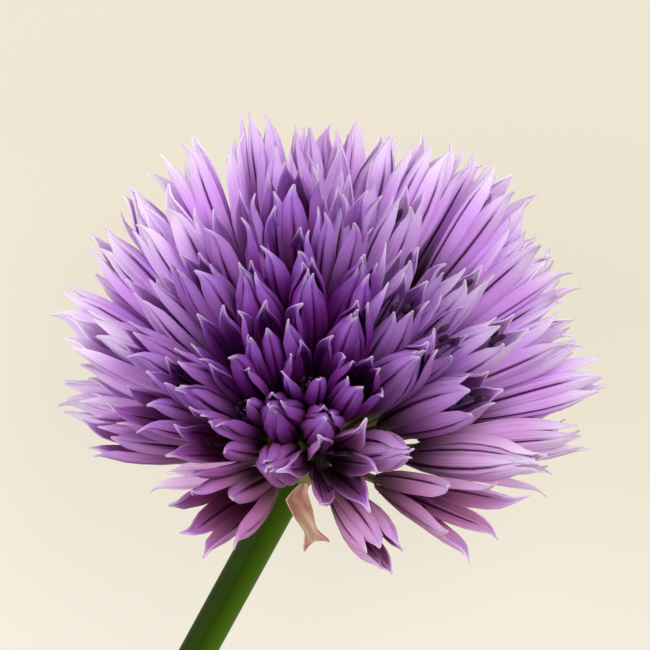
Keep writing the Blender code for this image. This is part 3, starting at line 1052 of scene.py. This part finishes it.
@dataclass
class FlowerHead:
    """The head: receptacle, stalks, tepals, stamens and ovaries, all from a few patterns."""

    plan: HeadPlan = HeadPlan()
    tepal: TepalForm = TepalForm()
    stamen: StamenForm = StamenForm()
    ovary: OvaryForm = OvaryForm()
    stalk: StalkForm = StalkForm()
    floret_length: float = 11.8 * MM
    receptacle_radius: float = 2.3 * MM
    receptacle_neck: float = 0.75
    openness_steps: int = 4
    shapes_per_step: int = 3
    variants: int = 4
    stray: Span = (-0.8, 1.3)
    stray_closed: float = 0.35
    turns: Span = (-0.14, 0.14)
    shades: Span = (-0.5, 0.5)
    leans: Span = (-0.03, 0.06)
    widths: Span = (0.85, 1.05)
    lengths: tuple[float, float, float] = (0.8, 0.995, 0.96)
    deep_from: float = 0.25
    deep_within: float = 0.5
    middle_half: float = 0.35
    left_from: float = -0.3
    old_from: float = 0.35
    old_within: float = 0.6
    behind_deeper: float = 0.5
    right_paler: float = 0.6
    left_paler: float = 0.4
    older_paler: float = 0.3
    tone_spread: float = 0.12
    seed: int = 5
    node: str = "flower_head"

    def tepal_shapes(self, draw: random.Random) -> dict[Whorl, list[list[Piece]]]:
        """A few tepals for each whorl and each step from closed to open."""
        last = self.openness_steps - 1
        return {
            whorl: [
                [
                    self.tepal.model(f"{whorl.name.lower()}_{step}_{number}", whorl, step / last, draw)
                    for number in range(self.shapes_per_step)
                ]
                for step in range(self.openness_steps)
            ]
            for whorl in Whorl
        }

    def floret_pattern(
        self, step: int, shapes: dict[Whorl, list[list[Piece]]], draw: random.Random
    ) -> Piece:
        """A whole floret that is about this far open, whose six tepals each go their own way."""
        last = self.openness_steps - 1
        tepals = []
        for whorl in Whorl:
            for third in range(3):
                freedom = self.stray_closed + (1.0 - self.stray_closed) * step / last
                stray = round(step + draw.uniform(*self.stray) * freedom)
                shape = draw.choice(shapes[whorl][max(0, min(last, stray))])
                around = whorl.value + third * FULL_TURN / 3.0 + draw.uniform(*self.turns)
                turn = Matrix.Rotation(around, 4, "Z")
                lean = Matrix.Rotation(draw.uniform(*self.leans), 4, "Y")
                width, length = draw.uniform(*self.widths), draw.triangular(*self.lengths)
                tepal = copy_of(shape, turn @ lean @ Matrix.Diagonal((1.0, width, length, 1.0)))
                set_own(tepal, SHADE, draw.uniform(*self.shades))
                tepals.append(tepal)
        return join(f"floret_pattern_{step}", tepals)

    def tone_of(self, way: Vector, draw: random.Random) -> float:
        """Deep violet for the crown that faces up and behind it, pale for the rim at the sides."""
        lift = clamp((way.z - self.deep_from) / self.deep_within)
        behind = max(0.0, 1.0 - abs(way.x) / self.middle_half) * max(0.0, way.y) * self.behind_deeper
        sides = max(0.0, way.x) * self.right_paler + max(0.0, self.left_from - way.x) * self.left_paler
        chance = draw.uniform(-self.tone_spread, self.tone_spread)
        return clamp(lift + behind - sides - self.older_paler * self.age_of(way) + chance)

    def age_of(self, way: Vector) -> float:
        """Fresh where the head is still opening, older towards the stem."""
        return clamp((self.old_from - way.y) / self.old_within)

    def foot_of(self, floret: Floret) -> Matrix:
        """Where a floret's foot stands, at the end of its stalk."""
        lift = Matrix.Translation(UP * (floret.reach - self.floret_length))
        return floret.frame(self.plan.line.receptacle()) @ lift

    def build_tepals(self, florets: Sequence[Floret]) -> Piece:
        """Every floret's tepals, as one piece."""
        draw = random.Random(self.seed)
        shapes = self.tepal_shapes(draw)
        patterns = [
            [self.floret_pattern(step, shapes, draw) for _ in range(self.variants)]
            for step in range(self.openness_steps)
        ]
        discard([shape for steps in shapes.values() for step in steps for shape in step])
        last = self.openness_steps - 1
        copies = []
        for floret in florets:
            spread = Matrix.Diagonal((floret.opening, floret.opening, 1.0, 1.0))
            pattern = draw.choice(patterns[round(floret.openness * last)])
            tepals = copy_of(pattern, self.foot_of(floret) @ spread)
            set_own(tepals, TONE, self.tone_of(floret.way, draw))
            set_own(tepals, AGE, self.age_of(floret.way))
            copies.append(tepals)
        for step_patterns in patterns:
            discard(step_patterns)
        return finish_piece(join("tepals", copies), TepalFinish(), Slot.TEPAL, self.node)

    def build_stamens(self, florets: Sequence[Floret]) -> None:
        """Every floret's filaments and styles, anthers and ovary, as three pieces."""
        draw = random.Random(self.seed + 1)
        filament, anther = self.stamen.filament(), self.stamen.anther()
        ovary, style = self.ovary.model(), self.ovary.style()
        filaments, anthers, ovaries = [], [], []
        for floret in florets:
            place = self.foot_of(floret)
            for number in range(self.stamen.per_floret):
                angle = (number + 0.5) * FULL_TURN / self.stamen.per_floret + draw.uniform(-0.06, 0.06)
                out = Matrix.Translation((self.stamen.ring_radius * (0.5 + 0.5 * floret.openness), 0.0, 0.0))
                lean = Matrix.Rotation(self.stamen.lean_at(floret.openness, draw), 4, "Y")
                tall = Matrix.Diagonal((1.0, 1.0, draw.uniform(*self.stamen.heights(floret)), 1.0))
                stand = place @ Matrix.Rotation(angle, 4, "Z") @ out @ lean @ tall
                filaments.append(copy_of(filament, stand))
                anthers.append(copy_of(anther, stand))
            filaments.append(copy_of(style, place))
            ovaries.append(copy_of(ovary, place))
        discard([filament, anther, ovary, style])
        finish_piece(join("filaments", filaments), FilamentFinish(), Slot.TEPAL)
        finish_piece(join("anthers", anthers), ANTHER_FINISH, Slot.TEPAL)
        finish_piece(join("ovaries", ovaries), OVARY_FINISH, Slot.STEM)

    def build_stalks(self, florets: Sequence[Floret]) -> None:
        """The receptacle with every floret's stalk, as one piece."""
        pattern = self.stalk.model()
        stalks = []
        for floret in florets:
            length = floret.reach - self.floret_length + self.stalk.overlap - self.stalk.root
            stretch = Matrix.Translation(UP * self.stalk.root) @ Matrix.Diagonal((1.0, 1.0, length, 1.0))
            stalks.append(copy_of(pattern, floret.frame(self.plan.line.receptacle()) @ stretch))
        discard([pattern])
        finish_piece(join("stalks", [self.receptacle(), *stalks]), StalkFinish(), Slot.STEM)

    def receptacle(self) -> Piece:
        """The knob that the stalks grow from, drawn in towards the stem."""
        centre, stem = self.plan.line.receptacle(), self.plan.line.direction()
        neck = self.receptacle_neck
        bpy.ops.mesh.primitive_uv_sphere_add(
            segments=24, ring_count=14, radius=self.receptacle_radius, location=centre
        )
        face_along(bpy.context.active_object, stem)
        bench = Bench(newest())
        near_stem = bench.find(lambda point: (point - centre).dot(stem) > self.receptacle_radius * 0.6)
        bench.pick(near_stem).resize(neck, neck, neck, centre + stem * self.receptacle_radius)
        return bench.close()

    def build(self) -> None:
        """Builds the whole head."""
        florets = self.plan.florets()
        LOG.info("%d florets", len(florets))
        self.build_tepals(florets)
        self.build_stamens(florets)
        self.build_stalks(florets)


@dataclass
class Stem:
    """The hollow green scape, from inside the head to its cut end."""

    line: StemLine = StemLine()
    bore: float = 0.62 * MM
    bore_depth: float = 30.0 * MM
    sides: int = 40
    rings: int = 60
    rim: float = 0.12 * MM
    node: str = "stem"

    def guide(self) -> Piece:
        """The centreline as a curve."""
        curve = bpy.data.curves.new("stem_guide", "CURVE")
        curve.dimensions = "3D"
        curve.use_stretch = True
        curve.use_deform_bounds = True
        spline = curve.splines.new("POLY")
        spline.points.add(self.rings)
        span = self.line.length - self.line.start
        for number, point in enumerate(spline.points):
            point.co = (*self.line.point(self.line.start + span * number / self.rings), 1.0)
        return add_object("stem_guide", curve)

    def build(self) -> Piece:
        """A tube with a drilled cut end, bent along the centreline."""
        length = (self.line.point(self.line.length) - self.line.point(self.line.start)).length
        bpy.ops.mesh.primitive_cylinder_add(
            vertices=self.sides,
            radius=self.line.radius,
            depth=length,
            location=(length / 2.0, 0.0, 0.0),
            rotation=(0.0, math.pi / 2.0, 0.0),
        )
        piece = newest()
        bench = Bench(piece)
        end = Vector((length, 0.0, 0.0))
        bench.pick_where(lambda point: point.x > length - NEAR)
        bpy.ops.mesh.select_mode(type="FACE")
        bpy.ops.mesh.inset(thickness=self.rim, depth=0.0)
        share = self.bore / (self.line.radius - self.rim)
        bpy.ops.mesh.inset(thickness=0.0001 * MM, depth=0.0)
        bpy.ops.transform.resize(value=(1.0, share, share), center_override=end)
        bpy.ops.mesh.extrude_region_move(TRANSFORM_OT_translate={"value": (-self.bore_depth, 0.0, 0.0)})
        bpy.ops.mesh.select_mode(type="VERT")
        for ring in range(1, self.rings):
            bench.cut("X", length * ring / self.rings)
        bench.close()
        self.tone(piece, length)
        guide = self.guide()
        apply_modifier(piece, "CURVE", object=guide, deform_axis="POS_X")
        discard([guide])
        bench = Bench(piece)
        bench.pick_where(lambda point: point.z < 0.0).resize(1.0, 1.0, 0.0, Vector()).close()
        piece.name = "stem_scape"
        return finish_piece(piece, StemFinish(self.line), Slot.STEM, self.node)

    def tone(self, piece: Piece, length: float) -> None:
        """Marks the cut face and the bore as pale flesh."""
        edge, start = self.line.radius - self.rim / 2.0, length - self.bore_depth * 1.1
        set_own(piece, TONE, 1.0, lambda point: point.yz.length < edge and point.x > start)


@dataclass
class SpatheValve:
    """A papery bract: a thin wrinkled strip with a torn, forked end."""

    number: int
    root_turn: float
    lean_turn: float
    line: StemLine = StemLine()
    root: float = 4.7 * MM
    length: float = 4.0 * MM
    spread: float = math.radians(48)
    gap: float = 0.3 * MM
    blade: float = 0.6 * MM
    outline: tuple[Span, ...] = ((0.0, 1.55), (0.3, 1.4), (0.68, 0.95), (1.0, 1.9))
    notch: float = 0.4 * MM
    torn_from: float = 0.8
    cup: float = 0.2 * MM
    paper: float = 0.12 * MM
    tucked: float = 0.3
    columns: int = 8
    rows: int = 22
    wrinkle: float = 0.1 * MM
    waves: Span = (5.0, 7.0)
    crumples: Span = (-0.3, 0.3)

    def width_at(self, share: float) -> float:
        """The valve's width at a share of its length."""
        for (low, start), (high, end) in zip(self.outline, self.outline[1:]):
            if share <= high:
                step = (share - low) / (high - low)
                return (start + (end - start) * step * step * (3.0 - 2.0 * step)) * MM
        return self.outline[-1][1] * MM

    def build(self) -> Piece:
        """Shapes the valve from a flat grid."""
        draw = random.Random(self.number)
        along = self.line.direction()
        out = self.line.across(self.root_turn)
        foot = self.line.point(self.root) + out * (self.line.radius + self.gap + self.blade / 2.0)
        lean = along * math.cos(self.spread) + self.line.across(self.lean_turn) * math.sin(self.spread)
        side = lean.cross(out).normalized()
        lifted = side.cross(lean)

        def place(across: float, row: int) -> Vector:
            """Where a point of the valve goes."""
            share = row / self.rows * (1.0 + self.tucked) - self.tucked
            above, below = max(0.0, share), min(0.0, share)
            tear = max(0.0, share - self.torn_from) / (1.0 - self.torn_from)
            torn = (1.0 - abs(across)) * self.notch * tear
            ripple = math.sin(across * self.waves[0] + share * self.waves[1] + self.number)
            ripple += draw.uniform(*self.crumples)
            point = foot + lean * (self.length * above - torn) + along * (self.length * below)
            point += side * (across * self.width_at(share) * (1.0 + below) / 2.0)
            return point + lifted * (ripple * self.wrinkle - self.cup * (1.0 - across**2))

        piece = shape_grid(f"spathe_{self.number}", self.columns, self.rows, place)
        apply_modifier(piece, "SOLIDIFY", thickness=self.paper, offset=0.0)
        return finish_piece(piece, SpatheFinish(), Slot.SPATHE, f"spathe_valve_{self.number}")


@dataclass(frozen=True)
class Studio:
    """A pale cream surface, soft light and a camera that looks straight down."""

    line: StemLine = StemLine()
    frame_width: float = 45.3 * MM
    aim_across: float = 0.07 * MM
    aim_along: float = 6.76 * MM
    lens: float = 250.0
    sensor: float = 36.0
    floor_size: float = 3.0
    cream: Colour = paint(100, 95, 84)
    mottled: Colour = paint(104, 99, 87)
    glow: Colour = paint(234, 227, 208)
    painted_fill_glow: Colour = paint(251, 245, 230)
    glow_strength: float = 0.82
    sky: Colour = paint(246, 243, 236)
    sky_strength: float = 0.45

    def floor(self) -> None:
        """The surface that the flower lies on: an even glow, with painted light added towards -Y and -X,
        where the flower's shadow falls.
        """
        bpy.ops.mesh.primitive_plane_add(size=self.floor_size, location=(0.0, 0.0, -0.02 * MM))
        floor = bpy.context.active_object
        floor.name = "surface"
        painter = Painter("cream_surface")
        place = painter.place()
        colour = painter.mix(painter.grain(3.0), self.cream, self.mottled)
        # Painted light: the glow brightens towards -Y and -X, over the flower's shadow.
        near = (painter.part(place, "Y") + painter.part(place, "X") * 0.3).fall(-0.01, 0.038)
        glow = painter.mix(near, self.glow, self.painted_fill_glow)
        painter.surface(
            Base_Color=colour, Roughness=0.9, Emission_Color=glow, Emission_Strength=self.glow_strength
        )
        floor.data.materials.append(painter.material)

    def lamp(self, name: str, place: Vector, size: float, power: float) -> None:
        """A soft square light that faces the head."""
        light = bpy.data.lights.new(name, "AREA")
        light.size = size
        light.energy = power
        lamp = add_object(name, light)
        lamp.location = self.line.centre + place
        face_along(lamp, place)

    def camera(self) -> None:
        """The camera, with the photograph's framing."""
        lens = bpy.data.cameras.new("camera")
        lens.lens = self.lens
        lens.sensor_width = self.sensor
        camera = add_object("camera", lens)
        distance = self.frame_width * self.lens / self.sensor
        camera.location = self.line.centre + Vector((self.aim_across, self.aim_along, distance))
        lens.clip_start = 0.01
        lens.clip_end = 10.0
        bpy.context.scene.camera = camera

    def world(self) -> None:
        """Even pale light from all round."""
        world = bpy.data.worlds.new("studio")
        world.use_nodes = True
        background = world.node_tree.nodes["Background"]
        background.inputs["Color"].default_value = self.sky
        background.inputs["Strength"].default_value = self.sky_strength
        bpy.context.scene.world = world
        bpy.context.scene.view_settings.view_transform = "Standard"

    def build(self) -> None:
        """Sets up everything round the flower."""
        self.floor()
        self.lamp("key", Vector((0.16, 0.16, 0.32)), size=0.25, power=1.25)
        self.lamp("fill", Vector((-0.26, 0.0, 0.16)), size=0.35, power=0.75)
        self.world()
        self.camera()


VALVE_TURNS = ((math.radians(65), math.radians(4)), (math.radians(-100), math.radians(-100)))


def main() -> None:
    """Builds the flower and the studio round it."""
    logging.basicConfig(level=logging.INFO, format="%(message)s")
    Studio().build()
    FlowerHead().build()
    Stem().build()
    for number, (root_turn, lean_turn) in enumerate(VALVE_TURNS, start=1):
        SpatheValve(number, root_turn, lean_turn).build()


if __name__ == "__main__":
    main()
